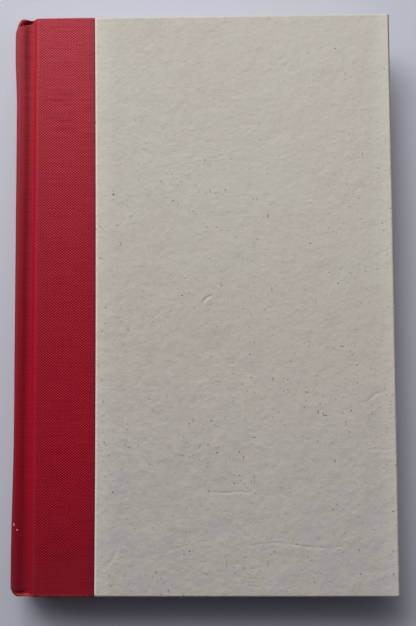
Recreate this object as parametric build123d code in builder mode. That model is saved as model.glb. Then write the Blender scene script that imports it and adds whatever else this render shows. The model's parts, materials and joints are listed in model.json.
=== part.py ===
"""Quarter-bound hardback book, lying closed on its back cover, front cover up.

Millimetres. +X runs from the spine to the fore-edge, +Y from the tail to the head, +Z up.
The origin is the middle of the footprint, on the table.
"""

import os
from math import asin, atan2, cos, degrees, radians, sin, tan

from build123d import *

# Text block
page_width = 151.4  # outer leaf, from the shoulder to the fore-edge
page_height = 235.0
block_thickness = 25.0  # leaves and both flyleaves, pressed flat
fore_edge_hollow = 2.4  # the rounded block's fore-edge curves in this far
back_round = 3.6  # the back stands out this far past the shoulders
shoulder_rise = 1.1  # the backed shoulders stand this far above the block's faces
gutter_clearance = 0.05  # the leaves lie flat this far before the groove's floor starts

# Sheets and linings
leaf = 0.15  # endpaper
covering = 0.35  # book cloth and siding paper
lining = 0.5  # mull and paper glued on the back
lining_margin = 18.0  # the lining stops this far short of head and tail
inlay = 0.45  # card strip behind the spine cloth
hollow_clearance = 0.1  # open space of the hollow back, beside the turned-in cloth

# Boards
board_thickness = 2.5
square = 3.2  # the boards stand out this far past the leaves
joint_gap = 6.6  # from the shoulder to the board's edge
board_corner = 0.6  # rounding of the board's two outer corners
board_edge = 0.25  # rounding of the board's long edges
cloth_lap = 23.8  # the quarter cloth reaches this far over the board
turn_in = 15.0  # the coverings are folded this far round the boards

# Groove between spine and board
groove_slope = 45.0  # degrees, the wall that falls from the spine
groove_radius = 0.6
groove_seat = 0.4  # the cloth rests on the lining over this width
fold_clearance = 0.15  # between the fold line and the cloth on either side of it
rim_radius = 0.7  # the cloth's bend over the board's edge

# Head and tail bands
bead_radius = 0.8
band_tape = 0.4
tape_length = 9.0
band_glue = 0.05  # glue line between the tape and the back
band_clearance = 1.0  # a band ends this far short of the shoulders, along the back

# Sizes that follow
board_height = page_height + 2 * square
board_width = page_width + square - joint_gap
cover_thickness = leaf + board_thickness + 2 * covering
block_bottom = cover_thickness
block_top = block_bottom + block_thickness
middle = (block_bottom + block_top) / 2
outside = block_top + cover_thickness
hollow = covering + hollow_clearance
inlay_face = lining + hollow
case_depth = inlay_face + inlay + covering
overall_width = case_depth + back_round + joint_gap + board_width + covering

shoulder_x = case_depth + back_round - overall_width / 2
fore_edge_x = shoulder_x + page_width
board_x = shoulder_x + joint_gap
board_fore_x = board_x + board_width
cloth_x = board_x + cloth_lap
half_board = board_height / 2
half_page = page_height / 2
panel_x = board_fore_x - turn_in
half_panel = half_board - turn_in

# Back of the block: one arc through both shoulder tips
half_chord = block_thickness / 2 + shoulder_rise
back_radius = (half_chord**2 + back_round**2) / (2 * back_round)
back_angle = degrees(asin(half_chord / back_radius))
back_centre = (shoulder_x - back_round + back_radius, middle)
tip = (shoulder_x, block_top + shoulder_rise)

# Groove: the spine wall is tangent to the crest round the shoulder, and ends on a flat floor
floor_drop = max(lining, covering + leaf)
floor_z = block_top + floor_drop + covering
wall_tan = tan(radians(groove_slope))
half_wall_tan = tan(radians(groove_slope / 2))
crest_in = case_depth - covering
wall_top_in = tip[1] + crest_in * cos(radians(groove_slope))
wall_run_in = (wall_top_in - floor_z + covering) / wall_tan
wall_foot_in = shoulder_x + crest_in * sin(radians(groove_slope)) + wall_run_in
floor_x = wall_foot_in + (groove_radius + covering) * half_wall_tan
spine_end_x = floor_x + groove_seat
fold_x = spine_end_x + fold_clearance
cover_end_x = fold_x + fold_clearance

# Leaves bend up to the shoulders on an arc tangent to the block's face
gutter_run = floor_x - gutter_clearance - shoulder_x
gutter_radius = (gutter_run**2 + shoulder_rise**2) / (2 * shoulder_rise)
gutter_angle = degrees(asin(gutter_run / gutter_radius))
gutter_centre = (shoulder_x + gutter_run, block_top + gutter_radius)

# Board wall of the groove
wall_foot = (cover_end_x + groove_radius, floor_z)
wall_head = (board_x - rim_radius, outside)
board_slope = degrees(atan2(wall_head[1] - wall_foot[1], wall_head[0] - wall_foot[0]))
half_slope_tan = tan(radians(board_slope / 2))

mid_plane = Plane.XY.offset(middle)
sketch_middle = Plane.XZ.offset(-middle)


def block_section():
    """Outline of the leaves with both flyleaves, in the plane across the spine."""
    with BuildSketch(Plane.XZ) as section:
        with BuildLine():
            CenterArc(back_centre, back_radius, 180 - back_angle, 2 * back_angle)
            bend = CenterArc(gutter_centre, gutter_radius, 270 - gutter_angle, gutter_angle)
            face = Line(bend @ 1, (fore_edge_x, block_top))
            mirror(bend, about=sketch_middle)
            mirror(face, about=sketch_middle)
            ThreePointArc(
                (fore_edge_x, block_top),
                (fore_edge_x - fore_edge_hollow, middle),
                (fore_edge_x, block_bottom),
            )
        make_face()
    return section.sketch


def top_leaf_section():
    """Band of one leaf's thickness along the block's upper face, longer than the block at both ends."""
    past = gutter_angle + degrees(asin(2 * leaf / gutter_radius))
    with BuildSketch(Plane.XZ) as section:
        with BuildLine():
            upper = CenterArc(gutter_centre, gutter_radius, 270 - past, past)
            lower = CenterArc(gutter_centre, gutter_radius + leaf, 270 - past, past)
            Line(upper @ 0, lower @ 0)
            Polyline(
                upper @ 1,
                (fore_edge_x + square, block_top),
                (fore_edge_x + square, block_top - leaf),
                lower @ 1,
            )
        make_face()
    return section.sketch


def lining_section():
    """Lining over the back, round both shoulders and down to the fold."""
    with BuildSketch(Plane.XZ) as section:
        with BuildLine():
            back = CenterArc(back_centre, back_radius, 180 - back_angle, back_angle)
            back_out = CenterArc(back_centre, back_radius + lining, 180 - back_angle, back_angle)
            Line(back @ 1, back_out @ 1)
            CenterArc(tip, lining, 90 - gutter_angle, 90 - back_angle + gutter_angle)
            bend = CenterArc(gutter_centre, gutter_radius, 270 - gutter_angle, gutter_angle)
            bend_out = CenterArc(gutter_centre, gutter_radius - lining, 270 - gutter_angle, gutter_angle)
            Polyline(
                bend @ 1,
                (spine_end_x, block_top),
                (spine_end_x, block_top + lining),
                bend_out @ 1,
            )
        make_face()
        mirror(about=sketch_middle)
    return section.sketch


def back_band_section(inner, outer):
    """Part ring behind the block, between two heights above its back, from shoulder to shoulder."""
    with BuildSketch(Plane.XZ) as section:
        with BuildLine():
            low = CenterArc(back_centre, back_radius + inner, 180 - back_angle, 2 * back_angle)
            high = CenterArc(back_centre, back_radius + outer, 180 - back_angle, 2 * back_angle)
            Line(low @ 0, high @ 0)
            Line(low @ 1, high @ 1)
        make_face()
    return section.sketch


def spine_wall(depth):
    """Crest round the shoulder, groove wall and floor, at a depth under the cloth's outer face."""
    crest = CenterArc(tip, case_depth - depth, 180 - back_angle, -(90 - back_angle + groove_slope))
    level = floor_z - depth
    top = crest @ 1
    foot = (top.X + (top.Y - level) / wall_tan, level)
    wall = FilletPolyline(top, foot, (spine_end_x, level), radius=groove_radius + depth)
    return crest, wall


def shoulder_section(outer, inner):
    """Cloth over one shoulder and down to the fold, between two depths."""
    with BuildSketch(Plane.XZ) as section:
        with BuildLine():
            crest, wall = spine_wall(outer)
            low_crest, low_wall = spine_wall(inner)
            Line(crest @ 0, low_crest @ 0)
            Line(wall @ 1, low_wall @ 1)
        make_face()
        mirror(about=sketch_middle)
    return section.sketch


def board_wall(depth, end):
    """Groove floor, wall up to the board and on to the end, at a depth under the cloth's outer face."""
    shift = depth * half_slope_tan
    return FilletPolyline(
        (cover_end_x, floor_z - depth),
        (wall_foot[0] + shift, floor_z - depth),
        (wall_head[0] + shift, outside - depth),
        (end, outside - depth),
        radius=(groove_radius + depth, rim_radius - depth),
    )


def joint_section():
    """Cloth from the fold up over the board's edge."""
    with BuildSketch(Plane.XZ) as section:
        with BuildLine():
            high = board_wall(0, board_x + covering)
            low = board_wall(covering, board_x + covering)
            Line(high @ 0, low @ 0)
            Line(high @ 1, low @ 1)
        make_face()
    return section.sketch


def board_outline(x_from, x_to, half_height, level):
    """Rectangle on a level plane between two places across the cover."""
    with BuildSketch(Plane.XY.offset(level)) as outline:
        with BuildLine():
            Polyline(
                (x_from, -half_height),
                (x_to, -half_height),
                (x_to, half_height),
                (x_from, half_height),
                close=True,
            )
        make_face()
    return outline.sketch


# Leaf on each face of the block, tipped on along the gutter
with BuildPart() as front_flyleaf:
    extrude(block_section(), amount=half_page, both=True)
    extrude(top_leaf_section(), amount=half_page, both=True, mode=Mode.INTERSECT)

with BuildPart() as back_flyleaf:
    mirror(front_flyleaf.part, about=mid_plane)

# All other leaves: rounded back, backed shoulders and hollow fore-edge
with BuildPart() as text_block:
    extrude(block_section(), amount=half_page, both=True)
    add(front_flyleaf.part, mode=Mode.SUBTRACT)
    add(back_flyleaf.part, mode=Mode.SUBTRACT)

# Mull and paper over the back, reaching into both grooves
with BuildPart() as spine_lining:
    extrude(lining_section(), amount=half_page - lining_margin, both=True)

# Corded band along the head of the back, on a short tape
band_face = back_radius + band_glue
band_angle = back_angle - degrees(band_clearance / back_radius)
band_start = radians(180 - band_angle)
band_plane = Plane(
    origin=(back_centre[0], 0, back_centre[1]),
    x_dir=(cos(band_start), 0, sin(band_start)),
    z_dir=(-sin(band_start), 0, cos(band_start)),
)
back_axis = Axis((back_centre[0], 0, back_centre[1]), (0, -1, 0))

with BuildPart() as head_band:
    with BuildSketch(band_plane) as head_profile:
        with Locations((band_face + band_tape - bead_radius, half_page + bead_radius)):
            Circle(bead_radius)
        with Locations((band_face + band_tape / 2, half_page + (bead_radius - tape_length) / 2)):
            Rectangle(band_tape, tape_length + bead_radius)
    revolve(axis=back_axis, revolution_arc=2 * band_angle)

with BuildPart() as tail_band:
    mirror(head_band.part, about=Plane.XZ)

# Card strip that keeps the hollow back's curve
with BuildPart() as spine_inlay:
    extrude(back_band_section(inlay_face, inlay_face + inlay), amount=half_board, both=True)

# Quarter cloth from fold to fold, turned in over the inlay at head and tail
with BuildPart() as spine_cloth:
    extrude(back_band_section(inlay_face - covering, case_depth), amount=half_board + covering, both=True)
    extrude(shoulder_section(0, 2 * covering), amount=half_board + covering, both=True)
    add(spine_inlay.part, mode=Mode.SUBTRACT)
    extrude(
        back_band_section(inlay_face - covering, inlay_face),
        amount=half_panel,
        both=True,
        mode=Mode.SUBTRACT,
    )
    extrude(
        shoulder_section(covering, 2 * covering),
        amount=half_panel,
        both=True,
        mode=Mode.SUBTRACT,
    )

# Stiff board
with BuildPart() as front_board:
    extrude(board_outline(board_x, board_fore_x, half_board, outside - covering), amount=-board_thickness)
    fillet(front_board.edges().filter_by(Axis.Z).group_by(Axis.X)[-1], board_corner)
    fillet(front_board.faces().sort_by(Axis.Z)[-1].edges(), board_edge)
    fillet(front_board.faces().sort_by(Axis.Z)[0].edges(), board_edge)

# Siding paper, folded round three edges of the board
wrap_thickness = board_thickness + 2 * covering
inner_face = outside - wrap_thickness

with BuildPart() as front_paper:
    extrude(
        board_outline(cloth_x, board_fore_x + covering, half_board + covering, outside),
        amount=-wrap_thickness,
    )
    fillet(front_paper.edges().filter_by(Axis.Z).group_by(Axis.X)[-1], board_corner + covering)
    spine_side = front_paper.edges().group_by(Axis.X)[0]
    fillet(front_paper.faces().sort_by(Axis.Z)[-1].edges() - spine_side, board_edge + covering)
    spine_side = front_paper.edges().group_by(Axis.X)[0]
    fillet(front_paper.faces().sort_by(Axis.Z)[0].edges() - spine_side, board_edge + covering)
    add(front_board.part, mode=Mode.SUBTRACT)
    extrude(
        board_outline(cloth_x, panel_x, half_panel, inner_face),
        amount=covering,
        mode=Mode.SUBTRACT,
    )

# Quarter cloth on the board: up from the fold, over the edge, and turned in at head and tail
with BuildPart() as front_cloth:
    extrude(board_outline(board_x, cloth_x, half_board + covering, outside), amount=-wrap_thickness)
    fillet(front_cloth.faces().sort_by(Axis.Z)[-1].edges().filter_by(Axis.X), board_edge + covering)
    fillet(front_cloth.faces().sort_by(Axis.Z)[0].edges().filter_by(Axis.X), board_edge + covering)
    add(front_board.part, mode=Mode.SUBTRACT)
    extrude(
        board_outline(board_x, cloth_x, half_panel, inner_face),
        amount=covering,
        mode=Mode.SUBTRACT,
    )
    extrude(joint_section(), amount=half_board + covering, both=True)

# Endpaper pasted on the board, over the turned-in coverings, and out to the fold
with BuildPart() as front_pastedown:
    extrude(board_outline(cover_end_x, fore_edge_x, half_page, block_top), amount=leaf)
    extrude(
        board_outline(board_x, panel_x, half_panel, block_top),
        amount=leaf + covering,
    )
    extrude(
        board_outline(board_x + leaf, panel_x - leaf, half_panel - leaf, block_top),
        amount=covering,
        mode=Mode.SUBTRACT,
    )

with BuildPart() as back_board:
    mirror(front_board.part, about=mid_plane)

with BuildPart() as back_paper:
    mirror(front_paper.part, about=mid_plane)

with BuildPart() as back_cloth:
    mirror(front_cloth.part, about=mid_plane)

with BuildPart() as back_pastedown:
    mirror(front_pastedown.part, about=mid_plane)

pieces = {
    "text_block": text_block,
    "front_flyleaf": front_flyleaf,
    "back_flyleaf": back_flyleaf,
    "spine_lining": spine_lining,
    "head_band": head_band,
    "tail_band": tail_band,
    "spine_inlay": spine_inlay,
    "spine_cloth": spine_cloth,
    "front_board": front_board,
    "front_paper": front_paper,
    "front_cloth": front_cloth,
    "front_pastedown": front_pastedown,
    "back_board": back_board,
    "back_paper": back_paper,
    "back_cloth": back_cloth,
    "back_pastedown": back_pastedown,
}

os.makedirs("parts", exist_ok=True)
for label, piece in pieces.items():
    piece.part.label = label
    export_step(piece.part, f"parts/{label}.step")
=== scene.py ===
import json
import math
import random

import bmesh
import bpy
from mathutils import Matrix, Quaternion, Vector, noise


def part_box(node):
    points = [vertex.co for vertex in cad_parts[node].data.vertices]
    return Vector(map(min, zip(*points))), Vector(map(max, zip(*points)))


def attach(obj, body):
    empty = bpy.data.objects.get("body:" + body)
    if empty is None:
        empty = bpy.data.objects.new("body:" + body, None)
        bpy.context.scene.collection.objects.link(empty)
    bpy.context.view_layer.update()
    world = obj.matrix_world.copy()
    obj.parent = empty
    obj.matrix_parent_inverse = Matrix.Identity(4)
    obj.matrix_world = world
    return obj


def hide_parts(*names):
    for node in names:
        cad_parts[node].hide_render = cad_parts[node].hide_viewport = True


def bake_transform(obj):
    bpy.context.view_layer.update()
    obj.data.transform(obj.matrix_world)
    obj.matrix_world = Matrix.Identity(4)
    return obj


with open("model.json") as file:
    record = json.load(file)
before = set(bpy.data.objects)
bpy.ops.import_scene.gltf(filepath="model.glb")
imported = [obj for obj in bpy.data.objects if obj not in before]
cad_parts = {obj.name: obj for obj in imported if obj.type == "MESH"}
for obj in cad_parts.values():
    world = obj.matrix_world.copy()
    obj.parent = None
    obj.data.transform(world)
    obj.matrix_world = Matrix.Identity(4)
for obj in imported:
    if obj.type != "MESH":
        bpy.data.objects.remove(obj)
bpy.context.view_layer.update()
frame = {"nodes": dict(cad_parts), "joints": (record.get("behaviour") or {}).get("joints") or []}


# Leaves. About two hundred sheets of cream book paper, sewn and glued at the back, which was rounded and
# hammered over so that the leaves fan out to a shoulder on each side. The block was cut as one, and each
# leaf has since settled a hair in or out of line.
MM = 0.001
front_joint, back_joint = (Vector(joint["pos_m"]) for joint in frame["joints"])
shoulder = front_joint.x  # both covers fold along the shoulders
mid_height = (front_joint.z + back_joint.z) / 2
half_back = front_joint.z - mid_height
back_round = 3.6 * MM
back_radius = (half_back**2 + back_round**2) / (2 * back_round)
back_axis = shoulder - back_round + back_radius
gutter = shoulder + 2.9 * MM  # where the leaves begin to turn up to the shoulder
flyleaf = 0.15 * MM
block_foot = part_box("back_pastedown")[1].z + flyleaf
block_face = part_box("front_pastedown")[0].z - flyleaf
fore_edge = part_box("front_flyleaf")[1].x
half_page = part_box("front_flyleaf")[1].y
leaf_count = 196
fore_hollow = 2.4 * MM
fore_slip, end_slip = 0.05 * MM, 0.03 * MM  # how far a leaf stands out of line


class Finish:
    """A surface finish, mixed from texture nodes into one shader."""

    def __init__(self, name, **sockets):
        self.material = bpy.data.materials.new(name)
        self.material.use_nodes = True
        self.tree = self.material.node_tree
        self.shader = self.tree.nodes["Principled BSDF"]
        self.feed(self.shader, {name.replace("_", " "): value for name, value in sockets.items()})

    def feed(self, node, values):
        for socket, value in values.items():
            if isinstance(value, bpy.types.NodeSocket):
                self.tree.links.new(value, node.inputs[socket])
            else:
                node.inputs[socket].default_value = value
        return node

    def add(self, kind, values, **settings):
        node = self.tree.nodes.new(kind)
        for name, value in settings.items():
            setattr(node, name, value)
        return self.feed(node, values)

    def place(self, kind="Object"):
        return self.add("ShaderNodeTexCoord", {}).outputs[kind]

    def stretch(self, place, scale):
        return self.add("ShaderNodeMapping", {"Vector": place, "Scale": scale}).outputs[0]

    def part(self, place, axis):
        return self.add("ShaderNodeSeparateXYZ", {"Vector": place}).outputs[axis]

    def cloud(self, place, scale, detail=2.0, rough=0.5):
        values = {"Vector": place, "Scale": scale, "Detail": detail, "Roughness": rough}
        return self.add("ShaderNodeTexNoise", values).outputs["Fac"]

    def reckon(self, operation, a, b=0.0, clamp=False):
        return self.add("ShaderNodeMath", {0: a, 1: b}, operation=operation, use_clamp=clamp).outputs[0]

    def ease(self, value, low, high, least=0.0, most=1.0):
        values = {"Value": value, "From Min": low, "From Max": high, "To Min": least, "To Max": most}
        return self.add("ShaderNodeMapRange", values, interpolation_type="SMOOTHSTEP").outputs["Result"]

    def times(self, a, b, clamp=False):
        return self.reckon("MULTIPLY", a, b, clamp)

    def band(self, value, rise, full, fade, end):
        """1 from full to fade, easing to nothing at rise and at end."""
        return self.times(self.ease(value, rise, full), self.ease(value, end, fade))

    def blend(self, share, a, b, mode="MIX"):
        values = {0: share, 6: a, 7: b}
        return self.add("ShaderNodeMix", values, data_type="RGBA", blend_type=mode).outputs[2]

    def tone(self, share, colour, red, green, blue):
        """A colour with its three parts raised or lowered by their own factors."""
        return self.blend(share, colour, self.blend(1.0, colour, (red, green, blue, 1.0), "MULTIPLY"))

    def relief(self, height, depth):
        return self.add("ShaderNodeBump", {"Height": height, "Distance": depth}).outputs[0]


def tint(red, green, blue):
    """A colour by the numbers it shows on a screen."""
    return tuple(((c / 255 + 0.055) / 1.055) ** 2.4 for c in (red, green, blue)) + (1.0,)


def piece(name, bm, finish, smooth=True):
    for edge in bm.edges:
        edge.smooth = not edge.is_boundary  # a sheet's cut edge stays crisp
    mesh = bpy.data.meshes.new(name)
    bm.to_mesh(mesh)
    bm.free()
    mesh.materials.append(finish.material)
    mesh.polygons.foreach_set("use_smooth", [smooth] * len(mesh.polygons))
    obj = bpy.data.objects.new(name, mesh)
    bpy.context.collection.objects.link(obj)
    return obj


def ease(value, low, high):
    t = min(max((value - low) / (high - low), 0.0), 1.0)
    return t * t * (3 - 2 * t)


def flare(turn):
    """How far a leaf has turned up towards the shoulder, 0 at the gutter and 1 at its back edge."""
    bend = 0.66
    return (1 - math.sqrt(1 - (bend * turn) ** 2)) / (1 - math.sqrt(1 - bend**2))


settle = random.Random(11)
block = bmesh.new()
pitch = (block_face - block_foot) / leaf_count
for number in range(leaf_count):
    level = block_foot + (number + 1) * pitch
    spread = 2 * (number + 0.5) / leaf_count - 1  # -1 at the back cover, 1 at the front
    at_back = mid_height + spread * (half_back - flyleaf)
    back_x = back_axis - math.sqrt(back_radius**2 - (at_back - mid_height) ** 2)
    fore_x = fore_edge - fore_hollow * (1 - spread**2) + settle.gauss(0, fore_slip)
    height = half_page + settle.gauss(0, end_slip)
    slip = settle.gauss(0, end_slip)
    for point in bmesh.ops.create_grid(block, x_segments=12, y_segments=1, size=0.5)["verts"]:
        along = point.co.x + 0.5
        if along < 2 / 3:
            turn = 1 - 1.5 * along
            x = gutter - turn * (gutter - back_x)
            lift = flare(turn)
        else:
            x, lift = gutter + (3 * along - 2) * (fore_x - gutter), 0.0
        point.co = (x, 2 * point.co.y * height + slip, level + lift * (at_back - level))
bmesh.ops.solidify(block, geom=block.faces[:], thickness=0.9 * pitch)
bmesh.ops.recalc_face_normals(block, faces=block.faces[:])

leaf_paper = Finish("leaf_paper", Roughness=0.85)
where = leaf_paper.place()
leaf_by_leaf = leaf_paper.cloud(leaf_paper.stretch(where, (18, 18, 9000)), 1.0, 2.0)
aged = leaf_paper.cloud(where, 45.0, 4.0)
colour = leaf_paper.blend(leaf_by_leaf, tint(196, 180, 148), tint(232, 222, 200))
colour = leaf_paper.blend(leaf_paper.ease(aged, 0.5, 0.75), colour, tint(203, 186, 150))
leaf_paper.feed(leaf_paper.shader, {
    "Base Color": colour,
    "Normal": leaf_paper.relief(leaf_paper.cloud(where, 3500.0, 3.0), 0.02 * MM),
})
leaves = piece("leaves", block, leaf_paper, smooth=False)
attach(leaves, "book_block")
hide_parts("text_block")


# Flyleaves. The free half of each endpaper, a stouter, whiter sheet than the leaves, tipped to the first
# and the last leaf along the gutter and flared with them up to the shoulder.
endpaper = Finish("endpaper", Roughness=0.8)
where = endpaper.place()
fibres = endpaper.cloud(endpaper.stretch(where, (900, 350, 900)), 1.0, 4.0, 0.6)
colour = endpaper.blend(fibres, tint(214, 205, 184), tint(236, 230, 214))
browned = endpaper.ease(endpaper.cloud(where, 30.0, 3.0), 0.45, 0.8)
colour = endpaper.blend(browned, colour, tint(214, 202, 174))
endpaper.feed(endpaper.shader, {"Base Color": colour, "Normal": endpaper.relief(fibres, 0.03 * MM)})
for node in ("front_flyleaf", "back_flyleaf"):
    frame["nodes"][node].data.materials.clear()
    frame["nodes"][node].data.materials.append(endpaper.material)


# Spine lining. Open-woven mull pasted over the rounded back with a strip of brown paper on top, from
# shoulder to shoulder and short of the bands; its flaps go on under the endpapers, out of sight.
lining_thickness = 0.5 * MM
lining_share = 0.985  # of the way from the middle of the back to a shoulder
mesh_gap = 1.1 * MM
half_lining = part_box("spine_lining")[1].y
back_angle = math.asin(half_back / back_radius)
lining_sheet = bmesh.new()
for point in bmesh.ops.create_grid(lining_sheet, x_segments=24, y_segments=24, size=1)["verts"]:
    angle, radius = point.co.x * back_angle * lining_share, back_radius + lining_thickness
    point.co = (
        back_axis - radius * math.cos(angle),
        point.co.y * half_lining,
        mid_height + radius * math.sin(angle),
    )
mull = Finish("mull_and_paper", Roughness=0.9)
where = mull.place()
gauze = mull.reckon(
    "MAXIMUM",
    mull.reckon("SINE", mull.times(mull.part(where, "Y"), math.tau / mesh_gap)),
    mull.reckon("SINE", mull.times(mull.part(where, "Z"), math.tau / mesh_gap)),
)
colour = mull.blend(mull.cloud(where, 260.0, 4.0, 0.6), tint(150, 120, 84), tint(176, 148, 108))
colour = mull.blend(mull.ease(gauze, 0.55, 0.95, 0.0, 0.7), colour, tint(206, 196, 172))
mull.feed(mull.shader, {"Base Color": colour, "Normal": mull.relief(gauze, 0.08 * MM)})
lining = piece("spine_lining_cloth", lining_sheet, mull)
lining.modifiers.new("thickness", "SOLIDIFY").thickness = lining_thickness
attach(lining, "book_block")
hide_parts("spine_lining")


# Head and tail bands. Two-coloured thread worked over a cord, ready-made by the yard on a tape; a length
# is glued to each end of the back so that the bead stands just past the leaves.
bead_radius = 0.8 * MM
tape_face = back_radius + 0.45 * MM
tape_length, tape_thickness, tape_past = 9 * MM, 0.35 * MM, 0.5 * MM
band_angle = back_angle - 1.0 * MM / back_radius
thread, stripe_pair = 0.5 * MM, 4 * MM

band_thread = Finish("band_thread", Roughness=0.7, Sheen_Weight=0.3)
where = band_thread.place()
height_up = band_thread.part(where, "Z")
stripe = band_thread.reckon("SINE", band_thread.times(height_up, math.tau / stripe_pair))
twist = band_thread.reckon("SINE", band_thread.times(height_up, math.tau / thread))
colour = band_thread.blend(band_thread.ease(stripe, -0.15, 0.15), tint(150, 34, 46), tint(216, 204, 176))
colour = band_thread.blend(band_thread.ease(twist, -1.0, 0.2, 0.55, 0.0), colour, tint(74, 34, 30))
strands = band_thread.cloud(band_thread.stretch(where, (400, 4000, 4000)), 1.0)
band_thread.feed(band_thread.shader, {
    "Base Color": colour,
    "Normal": band_thread.relief(strands, 0.03 * MM),
})
for name, end in (("head_band", 1), ("tail_band", -1)):
    bead = bmesh.new()
    ring = bmesh.ops.create_circle(bead, segments=10, radius=bead_radius)["verts"]
    centre = Vector((back_axis, 0, mid_height))
    for point in ring:
        point.co = Vector((point.co.x + tape_face - bead_radius, point.co.y, 0))
    for point in ring:
        across, up = point.co.x, point.co.y
        point.co = centre + Vector((-across * math.cos(band_angle), 0, -across * math.sin(band_angle)))
        point.co.y = end * (half_page + bead_radius) + up
    wraps = round(2 * band_angle * tape_face / thread)
    bmesh.ops.spin(
        bead, geom=ring + bead.edges[:], cent=centre, axis=(0, 1, 0), angle=2 * band_angle, steps=4 * wraps,
    )
    for point in bead.verts:
        arm = Vector((point.co.x - centre.x, 0, point.co.z - centre.z))
        core = centre + arm.normalized() * (tape_face - bead_radius)
        core.y = end * (half_page + bead_radius)
        around = math.atan2(arm.z, -arm.x) + band_angle
        swell = 0.93 + 0.07 * math.cos(math.tau * around * tape_face / thread)
        point.co = core + (point.co - core) * swell
    bmesh.ops.holes_fill(bead, edges=[e for e in bead.edges if e.is_boundary])
    tape = bmesh.ops.create_grid(bead, x_segments=16, y_segments=4, size=0.5)["verts"]
    for point in tape:
        angle, down = 2 * point.co.x * band_angle, (point.co.y + 0.5) * tape_length
        point.co = (
            back_axis - tape_face * math.cos(angle),
            end * (half_page + tape_past - down),
            mid_height + tape_face * math.sin(angle),
        )
    tape_faces = list({face for point in tape for face in point.link_faces})
    bmesh.ops.solidify(bead, geom=tape_faces, thickness=tape_thickness)
    bmesh.ops.recalc_face_normals(bead, faces=bead.faces[:])
    band = piece(name + "_thread", bead, band_thread)
    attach(band, "book_block")
    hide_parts(name)


# Boards. Two stiff sheets of grey-brown millboard, guillotined square, a little larger than the leaves on
# three sides. The case's cloth and paper wrap them, so only their weight and stiffness show.
millboard = Finish("millboard", Roughness=0.95)
where = millboard.place()
pulp = millboard.cloud(millboard.stretch(where, (700, 700, 2600)), 1.0, 5.0, 0.65)
colour = millboard.blend(pulp, tint(128, 116, 98), tint(176, 164, 142))
flecks = millboard.ease(millboard.cloud(where, 1500.0, 2.0), 0.68, 0.74)
colour = millboard.blend(flecks, colour, tint(84, 74, 62))
millboard.feed(millboard.shader, {"Base Color": colour, "Normal": millboard.relief(pulp, 0.06 * MM)})
for node in ("front_board", "back_board"):
    frame["nodes"][node].data.materials.clear()
    frame["nodes"][node].data.materials.append(millboard.material)


# Spine inlay. A strip of thin springy card between the joints, rolled to the curve of the back; the cloth
# is pasted over it and drawn in round its two ends.
case_depth = 1.75 * MM  # from the shoulder out to the face of the cloth
covering, card_thickness = 0.35 * MM, 0.4 * MM
half_inlay = half_page - 0.6 * MM
inlay_face = back_radius + case_depth - covering
inlay_strip = bmesh.new()
for point in bmesh.ops.create_grid(inlay_strip, x_segments=24, y_segments=24, size=1)["verts"]:
    angle = point.co.x * back_angle
    point.co = (
        back_axis - inlay_face * math.cos(angle),
        point.co.y * half_inlay,
        mid_height + inlay_face * math.sin(angle),
    )
card = Finish("inlay_card", Roughness=0.9)
where = card.place()
grain = card.cloud(card.stretch(where, (800, 120, 800)), 1.0, 4.0)
card.feed(card.shader, {
    "Base Color": card.blend(grain, tint(150, 134, 108), tint(182, 166, 138)),
    "Normal": card.relief(grain, 0.03 * MM),
})
inlay = piece("spine_inlay_card", inlay_strip, card)
inlay.modifiers.new("thickness", "SOLIDIFY").thickness = card_thickness
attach(inlay, "book_block")
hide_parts("spine_inlay")


# Quarter cloth. One strip of red plain-woven book cloth, pasted over the inlay and the spine edge of both
# boards, turned in at head and tail, and pressed down between board and shoulder to make the groove.
# It is modelled as two halves that meet down the middle of the spine.
cover_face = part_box("front_cloth")[1].z
cloth_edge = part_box("front_cloth")[1].x
half_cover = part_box("front_cloth")[1].y
under_paper = 3 * MM
fall, climb = math.radians(45), math.radians(56.9)  # slopes of the groove's two walls
crest_turn = math.pi / 2 - back_angle + fall
groove_radius, rim_radius = 1.62 * MM, 1.0 * MM
spine_radius = back_radius + case_depth


class Run:
    """The cloth's line across the book from mid-spine: straight runs and bends, end to end."""

    def __init__(self):
        self.steps = []
        self.x, self.z, self.heading = back_axis - spine_radius, mid_height, math.pi / 2
        self.length = 0.0

    def go(self, length, turn=0.0):
        self.steps.append((self.length, length, turn, self.x, self.z, self.heading))
        self.x, self.z, self.heading = self.walk(self.steps[-1], length)
        self.length += length
        return self

    def walk(self, step, far):
        start, length, turn, x, z, heading = step
        if turn == 0:
            return x + far * math.cos(heading), z + far * math.sin(heading), heading
        radius, ahead = length / turn, heading + turn * far / length
        return (
            x + radius * (math.sin(ahead) - math.sin(heading)),
            z - radius * (math.cos(ahead) - math.cos(heading)),
            ahead,
        )

    def at(self, far):
        step = [step for step in self.steps if step[0] <= far + 1e-9][-1]
        return self.walk(step, min(far - step[0], step[1]))


line = Run()
line.go(spine_radius * back_angle, -back_angle)
crest_start = line.length
line.go(case_depth * crest_turn, -crest_turn)
line.go(1.43 * MM)
line.go(groove_radius * (fall + climb), fall + climb)
groove_end = line.length
line.go((cover_face - line.z - rim_radius * (1 - math.cos(climb))) / math.sin(climb))
rim_start = line.length
line.go(rim_radius * climb, -climb)
rim_end = line.length
line.go(cloth_edge + under_paper - line.x)
lap_at = line.length - under_paper
turn_in, cloth_thickness = 12 * MM, 0.3 * MM
head_fold = 118.6 * MM  # height of the fold that the cloth sank into at the head
half_cut = half_cover + 3.2 * MM + turn_in


def paper_bow(y):
    """How far the paper's hand-cut edge, a little bowed, stands off the straight at a height."""
    share = y / half_cover
    return (1.04 - 0.25 * share - 0.45 * share**2) * MM


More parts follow.
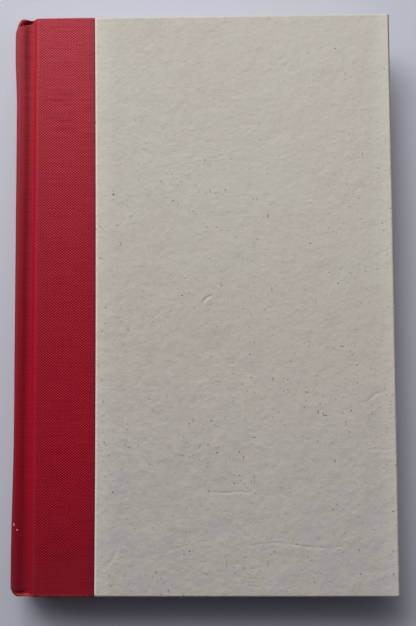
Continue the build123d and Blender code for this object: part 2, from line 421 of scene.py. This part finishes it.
def drape(across, along):
    """Where a point of the cloth as cut comes to lie on the case."""
    x, z, heading = line.at(across)
    under = 0.25 * MM * ease(across - lap_at - paper_bow(along), 0.05 * MM, 0.6 * MM)
    out = Vector((-math.sin(heading), 0, math.cos(heading)))
    past = (x - shoulder) / MM
    inward = -out.lerp(Vector((0, 0, 1)), ease(past, 2.0, 4.5)).normalized()  # straight in, past the groove
    wrap = 1.15 - 0.45 * ease(past, 0.5, 2.0) + 2.5 * ease(past, 4.6, 6.2)
    wrap *= MM
    bend = min(0.6 * MM, wrap / 2)
    side, far = math.copysign(1, along), abs(along)
    flat = half_cover - bend - 2 * under
    quarter = bend * math.pi / 2
    if far <= flat:
        y, deep = far, 0.0
    elif far <= flat + quarter:
        y = flat + bend * math.sin((far - flat) / bend)
        deep = bend * (1 - math.cos((far - flat) / bend))
    elif far <= flat + quarter + wrap - 2 * bend:
        y, deep = flat + bend, bend + far - flat - quarter
    else:
        rest = far - flat - quarter - (wrap - 2 * bend)
        angle = min(rest / bend, math.pi / 2)
        y = flat + bend * math.cos(angle) - max(rest - quarter, 0.0)
        deep = wrap - bend + bend * math.sin(angle)
    # past the ends of the leaves nothing backs the groove: at the head the cloth sinks into a slanting
    # fold there, at the tail it only puckers
    if side > 0:
        fold = (y - head_fold) / MM - 0.5 * past
        fold /= 0.9 if fold > 0 else 0.6
        pit = 2.8 * math.exp(-(fold**2)) * ease(past, -2.8, 0.6) * (1 - ease(past, 2.6, 4.4))
        pit *= 1 - 0.9 * ease(y / MM, 119.7, 120.6)
    else:
        fold = (y / MM - 119.2 - 0.25 * math.sin(past)) / 0.4
        pit = 0.6 * math.exp(-(fold**2)) * ease(past, -2.0, -0.5) * (1 - ease(past, 3.0, 5.0))
    # the hollow back stands a little fuller near its ends, which are drawn in over the inlay, slackly at
    # the head and round at the tail
    if side > 0:
        full = 0.75 * ease(y / MM, 85, 108) - 0.9 * ease(y / MM, 116.8, 121.2)
    else:
        full = 0.75 * ease(y / MM, 50, 112)
        full -= 2.2 * (1 - math.sqrt(1 - min(max((y / MM - 118.4) / 2.7, 0.0), 1.0) ** 2))
    full = (full - 0.15) * (1 - ease(past, -0.5, 2.0))
    ripple = 0.04 * (noise.noise(Vector((across * 90, along * 60, 3.0))) - 1)
    ripple *= 1 - ease(deep / MM, 0.0, 0.5)
    place = Vector((x, side * y, z)) + out * (full + ripple) * MM + inward * deep
    place.z -= pit * MM + under * (1 - 2 * deep / wrap)
    # towards the tail the groove was pressed nearer to the spine, shallower, with a longer slope to the
    # board
    tailward = ease(-side * y / MM, -90, 95)
    place.x -= 1.0 * MM * tailward * ease(past, -4.5, 1.5) * (1 - ease(past, 3.2, 6.6))
    place.z += 1.0 * MM * ease(-side * y / MM, -20, 110) * ease(past, 0.4, 2.6) * (1 - ease(past, 3.4, 6.0))
    return place


def cloth_half(name, front):
    spine_steps, joint_steps, board_steps = 16, 46, 16  # across, from mid-spine to under the paper
    field_steps, turn_steps, inside_steps = 22, 46, 6  # along, from mid-height to the cut end
    joint_reach = rim_end + 1 * MM
    field_reach, turn_reach = 113 * MM, 126 * MM
    sheet = bmesh.new()
    steps_across = spine_steps + joint_steps + board_steps
    steps_along = 2 * (field_steps + turn_steps + inside_steps)
    bmesh.ops.create_grid(sheet, x_segments=steps_across, y_segments=steps_along, size=0.5)
    flat_place = {}
    for point in sheet.verts:
        step = (point.co.x + 0.5) * steps_across
        if step <= spine_steps:
            across = crest_start * step / spine_steps
        elif step <= spine_steps + joint_steps:
            across = crest_start + (joint_reach - crest_start) * (step - spine_steps) / joint_steps
        else:
            past_joint = (step - spine_steps - joint_steps) / board_steps
            across = joint_reach + (line.length - joint_reach) * past_joint
        step = abs(point.co.y) * steps_along
        if step <= field_steps:
            along = field_reach * step / field_steps
        elif step <= field_steps + turn_steps:
            along = field_reach + (turn_reach - field_reach) * (step - field_steps) / turn_steps
        else:
            past_turn = (step - field_steps - turn_steps) / inside_steps
            along = turn_reach + (half_cut - turn_reach) * past_turn
        flat_place[point.index] = (across, math.copysign(along, point.co.y))
    grain = sheet.loops.layers.uv.new("weave")
    for face in sheet.faces:
        for loop in face.loops:
            loop[grain].uv = flat_place[loop.vert.index]
    on_front = sheet.verts.layers.float.new("on_front")
    to_paper = sheet.verts.layers.float.new("to_paper")
    for point in sheet.verts:
        across, along = flat_place[point.index]
        point[on_front] = float(front)
        point[to_paper] = lap_at + paper_bow(along) - across
        point.co = drape(across, along)
        if not front:
            point.co.z = 2 * mid_height - point.co.z
    if not front:
        bmesh.ops.reverse_faces(sheet, faces=sheet.faces[:])
    half = piece(name, sheet, book_cloth)
    half.modifiers.new("thickness", "SOLIDIFY").thickness = cloth_thickness
    return half


book_cloth = Finish("book_cloth", Roughness=0.8, Specular_IOR_Level=0.05)
cut = book_cloth.place("UV")
u, v = book_cloth.part(cut, "X"), book_cloth.part(cut, "Y")
from_middle = book_cloth.reckon("ABSOLUTE", v)
wander = book_cloth.times(book_cloth.cloud(cut, 110.0, 3.0), 1.3 * MM)
stray = book_cloth.times(book_cloth.cloud(cut, 90.0, 3.0, 0.6), 1.1 * MM)
warp_gap, weft_gap = 0.67 * MM, 0.535 * MM
warp = book_cloth.times(book_cloth.reckon("ADD", u, wander), math.pi / warp_gap)
weft = book_cloth.times(book_cloth.reckon("ADD", v, stray), math.pi / weft_gap)
warp, weft = book_cloth.reckon("SINE", warp), book_cloth.reckon("SINE", weft)
crossing = book_cloth.times(warp, weft)
warp_up = book_cloth.reckon("ADD", book_cloth.reckon("ABSOLUTE", warp), crossing)
weft_up = book_cloth.reckon("SUBTRACT", book_cloth.reckon("ABSOLUTE", weft), crossing)
weave = book_cloth.times(book_cloth.reckon("MAXIMUM", warp_up, weft_up), 0.5)
# the weave shows on the flat of the boards and the back, is rubbed flat in the groove, along the paper's
# edge and at the turned ends, and is least worn at mid-height
open_field = book_cloth.band(u, rim_end - 0.3 * MM, rim_end + 1 * MM, lap_at - 2.2 * MM, lap_at - 0.6 * MM)
inside_ends = book_cloth.ease(from_middle, half_cover - 1.5 * MM, half_cover - 5.5 * MM)
open_field = book_cloth.times(open_field, inside_ends)
on_spine = book_cloth.ease(u, crest_start + 0.5 * MM, crest_start - 1.5 * MM, 0.0, 0.8)
open_field = book_cloth.reckon("MAXIMUM", open_field, on_spine)
open_field = book_cloth.times(open_field, book_cloth.ease(v, -119 * MM, -60 * MM, 0.4, 1.0))
tightness = book_cloth.ease(book_cloth.cloud(cut, 180.0, 4.0, 0.6), 0.35, 0.65, 0.35, 1.65)
crisp = book_cloth.band(v, -95 * MM, 10 * MM, 30 * MM, 115 * MM)
tightness = book_cloth.reckon("MAXIMUM", tightness, crisp)
tightness = book_cloth.times(tightness, book_cloth.ease(open_field, 0.0, 1.0, 0.2, 1.0))
mean_crown = 0.18  # what the crowns come to where the weave is rubbed away
# the weave's light and dark are painted: a painted highlight on the thread crowns and painted shade in the
# hollows between them
crowns = book_cloth.reckon("SUBTRACT", book_cloth.ease(crossing, 0.25, 0.8), mean_crown)
crowns = book_cloth.reckon("ADD", book_cloth.times(crowns, tightness), mean_crown, clamp=True)
hollows = book_cloth.times(book_cloth.ease(crossing, -0.25, -0.8), tightness, clamp=True)
slubs = book_cloth.cloud(book_cloth.stretch(cut, (70, 2000, 1)), 1.0, 2.0)
slubs_down = book_cloth.cloud(book_cloth.stretch(cut, (2000, 70, 1)), 1.0, 2.0)
# painted sheen towards the head, where the cloth reflects the window's light; less red towards the tail and
# greyer at its very end
painted_sheen = book_cloth.times(book_cloth.reckon("ADD", v, 80 * MM), 5.0, clamp=True)
painted_sheen = book_cloth.reckon("POWER", painted_sheen, 2.0)
lower = book_cloth.blend(painted_sheen, tint(167, 3, 23), tint(196, 55, 70))
crown_highlight = book_cloth.blend(painted_sheen, tint(215, 72, 101), tint(230, 133, 143))
shaded = book_cloth.blend(painted_sheen, (0.55, 0.6, 0.8, 1.0), (0.72, 0.75, 0.8, 1.0))
colour = book_cloth.blend(crowns, lower, crown_highlight)
colour = book_cloth.blend(hollows, colour, book_cloth.blend(1.0, colour, shaded, "MULTIPLY"))
colour = book_cloth.tone(book_cloth.ease(v, -50 * MM, -125 * MM), colour, 0.84, 1.0, 1.0)
colour = book_cloth.tone(book_cloth.ease(v, -100 * MM, -122 * MM), colour, 1.0, 1.34, 1.15)
colour = book_cloth.blend(book_cloth.ease(slubs, 0.4, 0.8, 0.0, 0.35), colour, tint(112, 4, 22))
colour = book_cloth.blend(book_cloth.ease(slubs_down, 0.55, 0.85, 0.0, 0.3), colour, tint(200, 36, 58))
# painted light on the back of the spine, standing in for light from the left and the cloth's sheen where it
# turns away; its crest has darkened from handling, the fall into the groove has painted shade, and it is
# darker towards the tail
spine_light = book_cloth.ease(u, crest_start + 1.5 * MM, crest_start - 1 * MM)
colour = book_cloth.tone(spine_light, colour, 1.17, 1.4, 1.32)
# darker on the crest from handling, painted shade in the fall into the groove, and darker towards the tail
handled_and_shaded = book_cloth.band(
    u, crest_start - 0.2 * MM, crest_start + 1.8 * MM, groove_end - 1.4 * MM, groove_end + 0.6 * MM,
)
tailward = book_cloth.ease(v, -75 * MM, -125 * MM, 0.0, 0.42)
handled_and_shaded = book_cloth.reckon("ADD", handled_and_shaded, tailward, clamp=True)
colour = book_cloth.tone(handled_and_shaded, colour, 0.77, 0.8, 0.8)
# dusty along the rim of the board, a painted highlight on the groove's wall that climbs to the board and
# faces the light, rubbed on the turned ends
dust = book_cloth.band(u, rim_start - 0.2 * MM, rim_end - 0.2 * MM, rim_end, rim_end + 0.9 * MM)
dust = book_cloth.times(dust, book_cloth.reckon("ADD", book_cloth.times(painted_sheen, 0.2), 0.05))
colour = book_cloth.blend(dust, colour, tint(206, 104, 110))
# painted highlight on the groove's climbing wall
bright = book_cloth.band(
    u, groove_end - 1.7 * MM, groove_end + 0.4 * MM, rim_start + 0.1 * MM, rim_end + 0.1 * MM,
)
bright = book_cloth.times(bright, book_cloth.ease(v, -125 * MM, 0.0, 0.3, 0.95))
lit_wall_colour = book_cloth.blend(painted_sheen, tint(201, 19, 51), tint(224, 53, 73))
colour = book_cloth.blend(bright, colour, lit_wall_colour)
rubbed = book_cloth.ease(from_middle, half_cover - 1.4 * MM, half_cover - 0.3 * MM, 0.0, 0.5)
rubbed = book_cloth.times(rubbed, book_cloth.ease(book_cloth.cloud(cut, 900.0, 4.0), 0.35, 0.65))
colour = book_cloth.blend(rubbed, colour, tint(206, 84, 84))
# darker towards the paper, and a thin line of shade and old paste along its edge
to_paper = book_cloth.add("ShaderNodeAttribute", {}, attribute_name="to_paper").outputs["Fac"]
colour = book_cloth.tone(book_cloth.ease(to_paper, 3.6 * MM, 0.6 * MM), colour, 0.83, 0.97, 0.95)
colour = book_cloth.tone(book_cloth.ease(to_paper, 0.6 * MM, 0.3 * MM), colour, 0.7, 0.7, 0.75)
# painted shade in the fold at the head, where the lip of the head cap shades the hollow
crest_top = crest_start + case_depth * (math.pi / 2 - back_angle)
slant = book_cloth.times(book_cloth.reckon("SUBTRACT", u, crest_top), 0.42)
off_fold = book_cloth.reckon("SUBTRACT", book_cloth.reckon("SUBTRACT", v, slant), head_fold)
fold_shade = book_cloth.times(
    book_cloth.ease(book_cloth.reckon("ABSOLUTE", off_fold), 1.1 * MM, 0.3 * MM, 0.0, 0.85),
    book_cloth.band(u, crest_top - 2.4 * MM, crest_top, crest_top + 3.4 * MM, crest_top + 5.2 * MM),
)
colour = book_cloth.blend(fold_shade, colour, tint(52, 4, 12))
# frayed bright along the tail edge of the spine
wavy = book_cloth.times(book_cloth.cloud(book_cloth.stretch(cut, (330, 0, 0)), 1.0, 1.0), 1.6 * MM)
past_tail = book_cloth.reckon("SUBTRACT", v, wavy)
fringe = book_cloth.times(
    book_cloth.ease(past_tail, -half_cover + 0.5 * MM, -half_cover + 0.2 * MM),
    book_cloth.band(u, crest_start - 1 * MM, crest_start + 0.6 * MM, rim_start - 0.5 * MM, rim_end),
)
streaks = book_cloth.cloud(book_cloth.stretch(cut, (300, 1500, 1)), 1.0, 2.0)
fringe = book_cloth.times(fringe, book_cloth.ease(streaks, 0.35, 0.6, 0.3, 1.0))
colour = book_cloth.blend(fringe, colour, tint(228, 82, 78))
# two pale chips near the tail of the front joint
on_front = book_cloth.add("ShaderNodeAttribute", {}, attribute_name="on_front").outputs["Fac"]
for chip_u, chip_v, chip_radius in ((15.3, -91.9, 0.75), (17.2, -94.0, 0.34)):
    middle = (chip_u * MM, chip_v * MM, 0)
    away = book_cloth.add("ShaderNodeVectorMath", {0: cut, 1: middle}, operation="DISTANCE")
    chip = book_cloth.ease(away.outputs["Value"], chip_radius * MM, 0.5 * chip_radius * MM)
    colour = book_cloth.blend(book_cloth.times(chip, on_front), colour, tint(236, 222, 214))
book_cloth.feed(book_cloth.shader, {"Base Color": colour, "Normal": book_cloth.relief(weave, 0.1 * MM)})

front_cloth = cloth_half("front_quarter_cloth", True)
back_cloth = cloth_half("back_quarter_cloth", False)
for half, cover, joint, nodes, board in (
    (front_cloth, "front_cover", front_joint, ("front_cloth", "spine_cloth"), "front_board"),
    (back_cloth, "back_cover", back_joint, ("back_cloth",), "back_board"),
):
    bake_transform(half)
    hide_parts(*nodes)


# Siding papers. Off-white paper with dark flecks of bark and straw in its pulp, one sheet on each board,
# lapped over the edge of the cloth, pasted down and turned in at head, tail and fore-edge.
paper_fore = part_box("front_paper")[1].x + 0.25 * MM
paper_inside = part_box("front_paper")[0].z
panel_fore, panel_head = 64.8 * MM, 105.7 * MM  # how far the bare inside of the board reaches
paper_thickness, fore_round = 0.3 * MM, 0.8 * MM
lap_step, lap_slope = 0.14 * MM, 5 * MM  # the paper stands this much higher where the cloth is under it
mark_reach = 3.2  # mm on either side of a mark, where the mesh is finer

dent = ((1.2, -1.8), (1.7, -0.4), (2.3, 0.35), (3.1, 0.95), (4.1, 1.55), (5.0, 2.0))
crease = (
    (4.6, -78.9), (6.8, -79.1), (9.1, -79.2), (12.0, -79.3), (14.0, -78.7), (16.5, -79.0), (20.5, -79.0),
)
marks = (
    # points along the mark in mm, depth and half-width in mm; the dent has a low mound round it
    (dent, 0.42, 0.62),
    (dent, -0.17, 2.2),
    (crease, 0.2, 0.5),
    (((35.5, -99.7), (41.7, -100.9), (44.5, -101.1), (49.0, -101.3), (54.7, -101.7)), 0.14, 0.5),
    (((54.5, -101.8), (55.5, -101.1), (57.6, -101.0)), 0.14, 0.45),
    (((18.3, -100.4), (22.8, -100.0), (26.5, -99.8), (29.3, -99.2), (39.4, -100.2)), 0.07, 0.45),
    (((66.4, -43.1), (69.8, -41.2), (71.7, -39.6), (73.1, -38.7), (76.4, -38.0)), 0.14, 0.5),
    (((67.7, -62.0), (70.9, -61.8), (75.0, -61.9), (78.3, -62.4)), 0.08, 0.6),
    (((-34.1, -99.3), (-35.4, -103.0), (-37.0, -106.2), (-38.6, -107.8), (-40.5, -109.4)), 0.22, 0.9),
    (((-39.8, -35.5), (-36.5, -36.0), (-33.2, -35.6), (-29.5, -36.2)), 0.06, 0.5),
    (((-39.4, -36.8), (-36.1, -37.4), (-32.8, -37.4), (-30.3, -37.0)), 0.06, 0.5),
    (((-21.6, -35.0), (-19.1, -35.6), (-15.8, -36.1)), 0.06, 0.5),
)


def from_mark(x, y, points):
    """How far a point on the cover is from a mark, and how far along the mark it lies, 0 to 1."""
    best = (1e9, 0.0)
    for number, (start, end) in enumerate(zip(points, points[1:])):
        start, end, here = Vector(start), Vector(end), Vector((x, y))
        run = end - start
        share = min(max((here - start).dot(run) / run.length_squared, 0.0), 1.0)
        best = min(best, ((here - start - run * share).length, (number + share) / (len(points) - 1)))
    return best


def siding(name, front):
    sheet = bmesh.new()
    bmesh.ops.create_cube(sheet, size=1)
    size = Vector((paper_fore - cloth_edge, 2 * half_cover, cover_face - paper_inside))
    bmesh.ops.scale(sheet, vec=size, verts=sheet.verts)
    bmesh.ops.translate(
        sheet, vec=((paper_fore + cloth_edge) / 2, 0, (cover_face + paper_inside) / 2), verts=sheet.verts,
    )
    rim = [e for e in sheet.edges if max(point.co.x for point in e.verts) > cloth_edge + 1 * MM]
    bmesh.ops.bevel(
        sheet, geom=rim, offset=fore_round, affect="EDGES", segments=5, profile=0.5, material=-1,
    )
    spine_side = [f for f in sheet.faces if f.calc_center_median().x < cloth_edge + 0.01 * MM]
    bmesh.ops.delete(sheet, geom=spine_side, context="FACES")
    for spot, facing in (
        ((panel_fore, 0, 0), (1, 0, 0)), ((0, panel_head, 0), (0, 1, 0)), ((0, -panel_head, 0), (0, 1, 0)),
        ((paper_fore - 1 * MM, 0, 0), (1, 0, 0)), ((cloth_edge + 2 * MM, 0, 0), (1, 0, 0)),
        ((0, half_cover - 1 * MM, 0), (0, 1, 0)), ((0, 1 * MM - half_cover, 0), (0, 1, 0)),
    ):
        everything = sheet.verts[:] + sheet.edges[:] + sheet.faces[:]
        bmesh.ops.bisect_plane(sheet, geom=everything, plane_co=spot, plane_no=facing)
    window = []
    for face in sheet.faces:
        middle = face.calc_center_median()
        if middle.z < paper_inside + 0.01 * MM and middle.x < panel_fore and abs(middle.y) < panel_head:
            window.append(face)
    bmesh.ops.delete(sheet, geom=window, context="FACES")
    for axis, long_cuts in ((0, 60), (1, 110)):
        for least, most, cuts in ((1.5, 3, 3), (8, 16, 7), (60, 250, long_cuts)):
            chosen = []
            for e in sheet.edges:
                run = e.verts[1].co - e.verts[0].co
                if least * MM < run.length <= most * MM and abs(run[axis]) > 0.99 * run.length:
                    chosen.append(e)
            if chosen:
                bmesh.ops.subdivide_edges(sheet, edges=chosen, cuts=cuts, use_grid_fill=True)
    if front:
        near = set()
        for face in sheet.faces:
            middle = face.calc_center_median() / MM
            if middle.z > cover_face / MM - 0.01:
                if any(from_mark(middle.x, middle.y, mark[0])[0] < mark_reach for mark in marks):
                    near.update(face.edges)
        bmesh.ops.subdivide_edges(sheet, edges=list(near), cuts=7, use_grid_fill=True)
    for point in sheet.verts:
        if point.co.z < cover_face - 0.01 * MM:
            continue
        if front:
            lift = lap_step * (1 - ease(point.co.x, cloth_edge, cloth_edge + lap_slope))
            for points, depth, width in marks:
                away, share = from_mark(point.co.x / MM, point.co.y / MM, points)
                tapered = math.sin(math.pi * (0.12 + 0.76 * share))  # shallower towards both ends
                lift -= depth * MM * math.exp(-((away / width) ** 2)) * tapered
            point.co.z += lift
    from_lap = sheet.verts.layers.float.new("from_lap")
    for point in sheet.verts:
        point[from_lap] = point.co.x - cloth_edge
        point.co.x += paper_bow(point.co.y) * (1 - ease(point.co.x, cloth_edge, cloth_edge + 20 * MM))
    if not front:
        for point in sheet.verts:
            point.co.z = 2 * mid_height - point.co.z
        bmesh.ops.reverse_faces(sheet, faces=sheet.faces[:])
    half = piece(name, sheet, siding_paper)
    half.modifiers.new("thickness", "SOLIDIFY").thickness = paper_thickness
    return half


siding_paper = Finish("siding_paper", Roughness=0.8)
where = siding_paper.place()
outward, headward = siding_paper.part(where, "X"), siding_paper.part(where, "Y")
jitter = siding_paper.add("ShaderNodeTexNoise", {"Vector": where, "Scale": 1600.0, "Detail": 2.0})
jitter = siding_paper.add(
    "ShaderNodeVectorMath", {0: jitter.outputs["Color"], 1: (0.5, 0.5, 0.5)}, operation="SUBTRACT",
)
jitter = siding_paper.add("ShaderNodeVectorMath", {0: jitter.outputs[0], 3: 0.5 * MM}, operation="SCALE")
ragged = siding_paper.add("ShaderNodeVectorMath", {0: where, 1: jitter.outputs[0]}, operation="ADD")
ragged = ragged.outputs[0]
# the flecks lie thicker in some places than in others, and thinner towards the head
crowding = siding_paper.ease(siding_paper.cloud(where, 36.0, 2.0), 0.35, 0.65, -0.07, 0.07)
thinning = siding_paper.ease(headward, 0.0, 130 * MM, -0.01, -0.12)
crowding = siding_paper.reckon("ADD", crowding, thinning)


def specks(place, spacing, largest, share, soft):
    """Flecks in the pulp: one to a cell of the given spacing in mm, in the given share of the cells."""
    cells = siding_paper.add("ShaderNodeTexVoronoi", {"Vector": place, "Scale": 1000.0 / spacing})
    size = siding_paper.reckon("ADD", siding_paper.part(cells.outputs["Color"], "X"), crowding)
    size = siding_paper.ease(size, 1 - share, 1.0, 0.0, largest / spacing)
    inside = siding_paper.reckon("SUBTRACT", size, cells.outputs["Distance"])
    return siding_paper.ease(inside, 0.0, soft / spacing)


cloudy = siding_paper.ease(siding_paper.cloud(where, 28.0, 3.0, 0.55), 0.3, 0.7)
colour = siding_paper.blend(cloudy, tint(207, 201, 193), tint(209, 205, 194))
# painted light: a little yellower and paler towards the head, where the window's warm light falls, and
# paler towards the fore-edge, evening out the lamps' falloff
colour = siding_paper.tone(siding_paper.ease(headward, 20 * MM, -100 * MM), colour, 0.985, 0.985, 1.06)
colour = siding_paper.tone(siding_paper.ease(headward, -20 * MM, 30 * MM), colour, 1.04, 1.06, 1.05)
colour = siding_paper.tone(siding_paper.ease(outward, -30 * MM, 70 * MM), colour, 1.06, 1.06, 1.06)
mottle = siding_paper.ease(siding_paper.cloud(where, 330.0, 4.0, 0.6), 0.3, 0.7, 0.0, 0.55)
colour = siding_paper.blend(mottle, colour, tint(221, 216, 204))
# a painted highlight along its cut edge on the cloth, where the edge catches the light, paler towards both
# long edges and rubbed pale along the head
from_lap = siding_paper.add("ShaderNodeAttribute", {}, attribute_name="from_lap").outputs["Fac"]
pale = siding_paper.ease(from_lap, 1 * MM, 0.25 * MM, 0.0, 0.8)
colour = siding_paper.blend(pale, colour, tint(243, 239, 228))
margins = siding_paper.reckon(
    "MAXIMUM",
    siding_paper.ease(from_lap, 10 * MM, 1 * MM),
    siding_paper.ease(outward, paper_fore - 10 * MM, paper_fore - 1 * MM),
)
colour = siding_paper.tone(margins, colour, 1.09, 1.1, 1.1)
pale = siding_paper.ease(headward, half_cover - 1.2 * MM, half_cover - 0.4 * MM, 0.0, 0.5)
colour = siding_paper.blend(pale, colour, tint(232, 224, 204))
# a pale line inside the fore-edge, and painted shade on the rounded edge itself, which faces away from the
# light, most of all near the head
pale = siding_paper.band(
    outward, paper_fore - 1.9 * MM, paper_fore - 1.3 * MM, paper_fore - 1.1 * MM, paper_fore - 0.7 * MM,
)
colour = siding_paper.blend(siding_paper.times(pale, 0.35), colour, tint(232, 224, 204))
grey = siding_paper.times(
    siding_paper.ease(outward, paper_fore - 0.9 * MM, paper_fore - 0.45 * MM),
    siding_paper.ease(headward, 20 * MM, half_cover, 0.15, 0.8),
)
colour = siding_paper.blend(grey, colour, tint(118, 112, 102))
across_fibres = siding_paper.stretch(ragged, (1.0, 0.3, 1.0))
down_fibres = siding_paper.stretch(ragged, (0.3, 1.0, 1.0))
colour = siding_paper.blend(specks(ragged, 1.5, 0.55, 0.5, 0.4), colour, tint(182, 175, 164))
colour = siding_paper.blend(specks(across_fibres, 2.2, 0.4, 0.14, 0.2), colour, tint(162, 154, 142))
colour = siding_paper.blend(specks(down_fibres, 2.2, 0.4, 0.1, 0.2), colour, tint(162, 154, 142))
colour = siding_paper.blend(specks(ragged, 2.3, 0.4, 0.34, 0.2), colour, tint(112, 104, 94))
colour = siding_paper.blend(specks(ragged, 3.6, 0.44, 0.3, 0.2), colour, tint(70, 62, 56))
# a pebbled face with broad low swells, and fine wrinkles in patches, where the paste dried unevenly
fine_grain = siding_paper.times(siding_paper.cloud(where, 1400.0, 2.0), 0.4)
pebble = siding_paper.reckon("ADD", siding_paper.cloud(where, 520.0, 3.0, 0.5), fine_grain)
swells = siding_paper.times(siding_paper.cloud(where, 110.0, 2.0), 2.2)
pebble = siding_paper.reckon("ADD", pebble, swells)
folds = siding_paper.cloud(siding_paper.stretch(where, (45, 110, 45)), 1.0, 3.0, 0.55)
folds = siding_paper.reckon("ABSOLUTE", siding_paper.reckon("SUBTRACT", folds, 0.5))
folds = siding_paper.ease(folds, 0.03, 0.0)
patches = siding_paper.ease(siding_paper.cloud(where, 24.0, 2.0), 0.55, 0.7, 0.0, 0.16)
pebble = siding_paper.reckon("SUBTRACT", pebble, siding_paper.times(folds, patches))
siding_paper.feed(siding_paper.shader, {
    "Base Color": colour,
    "Normal": siding_paper.relief(pebble, 0.26 * MM),
})
for name, cover, front in (
    ("front_siding_paper", "front_cover", True), ("back_siding_paper", "back_cover", False),
):
    paper = siding(name, front)
    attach(paper, cover)
    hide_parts(name.replace("_siding", ""))


# Pastedowns. The other half of each endpaper, pasted to the inside of its board over the turn-ins, whose
# edges show through as a low step. It folds at the shoulder, where it becomes the flyleaf.
def pastedown(name, front):
    fold_steps, panel_steps, fore_steps = 16, 24, 20  # across, from the shoulder to the fore-edge
    middle_steps, end_steps = 14, 16  # along, from mid-height to head or tail
    fold_reach, fore_reach, end_reach = shoulder + 8 * MM, 62 * MM, 102 * MM
    turn_in_step = 0.35 * MM
    sheet = bmesh.new()
    steps_across = fold_steps + panel_steps + fore_steps
    steps_along = 2 * (middle_steps + end_steps)
    bmesh.ops.create_grid(sheet, x_segments=steps_across, y_segments=steps_along, size=0.5)
    grain = sheet.loops.layers.uv.new("sheet")
    for face in sheet.faces:
        for loop in face.loops:
            loop[grain].uv = (loop.vert.co.x * 0.15, loop.vert.co.y * 0.235)
    for point in sheet.verts:
        step, side = (point.co.x + 0.5) * steps_across, math.copysign(1, point.co.y)
        if step <= fold_steps:
            x = shoulder + (fold_reach - shoulder) * step / fold_steps
        elif step <= fold_steps + panel_steps:
            x = fold_reach + (fore_reach - fold_reach) * (step - fold_steps) / panel_steps
        else:
            x = fore_reach + (fore_edge - fore_reach) * (step - fold_steps - panel_steps) / fore_steps
        step = abs(point.co.y) * steps_along
        if step <= middle_steps:
            y = end_reach * step / middle_steps
        else:
            y = end_reach + (half_page - end_reach) * (step - middle_steps) / end_steps
        turn = min(max((gutter - x) / (gutter - shoulder), 0.0), 1.0)
        panel = (1 - ease(x / MM, 64, 66)) * (1 - ease(y / MM, 105, 107)) * ease((x - shoulder) / MM, 7, 9)
        page = block_face + flyleaf + 0.02 * MM
        z = page + flare(turn) * (front_joint.z - page) + turn_in_step * panel
        point.co = (x, side * y, z if front else 2 * mid_height - z)
    if front:
        bmesh.ops.reverse_faces(sheet, faces=sheet.faces[:])
    half = piece(name, sheet, endpaper)
    half.modifiers.new("thickness", "SOLIDIFY").thickness = 0.12 * MM
    return half


for name, cover, joint, front in (
    ("front_pastedown", "front_cover", front_joint, True),
    ("back_pastedown", "back_cover", back_joint, False),
):
    sheet = pastedown(name + "_sheet", front)
    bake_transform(sheet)
    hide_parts(name)


# Table, light and camera. A plain pale table top, five soft lamps, most of their light from beyond the
# head and to the left, as from a window, and the camera above, leaning a few degrees.
table = bmesh.new()
bmesh.ops.create_grid(table, x_segments=8, y_segments=8, size=1.5)
table_top = Finish("table_top", Roughness=0.6)
where = table_top.place()
paint = table_top.blend(table_top.cloud(where, 6.0, 3.0), tint(210, 216, 230), tint(216, 222, 236))
table_top.feed(table_top.shader, {
    "Base Color": paint,
    "Normal": table_top.relief(table_top.cloud(where, 800.0, 2.0), 0.02 * MM),
})
table = piece("table", table, table_top, smooth=False)

for name, place, size, power, colour in (
    ("window_light", (-0.242, 0.520, 0.849), 0.5, 4.35, (1.0, 0.985, 0.95)),
    ("head_light", (0.0, 0.819, 0.604), 0.5, 1.9, (1.0, 0.985, 0.95)),
    ("side_light", (-0.542, 0.455, 0.737), 0.5, 1.42, (0.97, 0.98, 1.0)),
    ("ceiling_light", (0.0, 0.259, 0.996), 0.5, 0.8, (1.0, 0.93, 0.98)),
    ("fill_light", (0.633, 0.112, 0.796), 0.5, 0.37, (0.96, 0.77, 1.0)),
):
    lamp = bpy.data.lights.new(name, "AREA")
    lamp.size, lamp.energy, lamp.color = size, power, colour
    stand = bpy.data.objects.new(name, lamp)
    stand.location = place
    stand.rotation_euler = (Vector((0, 0, 0.03)) - stand.location).to_track_quat("-Z", "Y").to_euler()
    bpy.context.collection.objects.link(stand)

room = bpy.data.worlds.new("room")
bpy.context.scene.world = room
room.use_nodes = True
room.node_tree.nodes["Background"].inputs["Color"].default_value = (0.78, 0.86, 1.0, 1.0)
room.node_tree.nodes["Background"].inputs["Strength"].default_value = 0.004
bpy.context.scene.view_settings.view_transform = "Standard"

lens = bpy.data.cameras.new("camera")
lens.lens = 56.71
lens.sensor_width = 36.0
lens.clip_start = 0.01
camera = bpy.data.objects.new("camera", lens)
lean = Vector((4.23, 1.3565, -0.3332))
camera.rotation_mode = "QUATERNION"
camera.rotation_quaternion = Quaternion(lean.normalized(), math.radians(lean.length))
camera.location = Vector((12.906, -35.543, 439.451)) * MM
bpy.context.collection.objects.link(camera)
bpy.context.scene.camera = camera
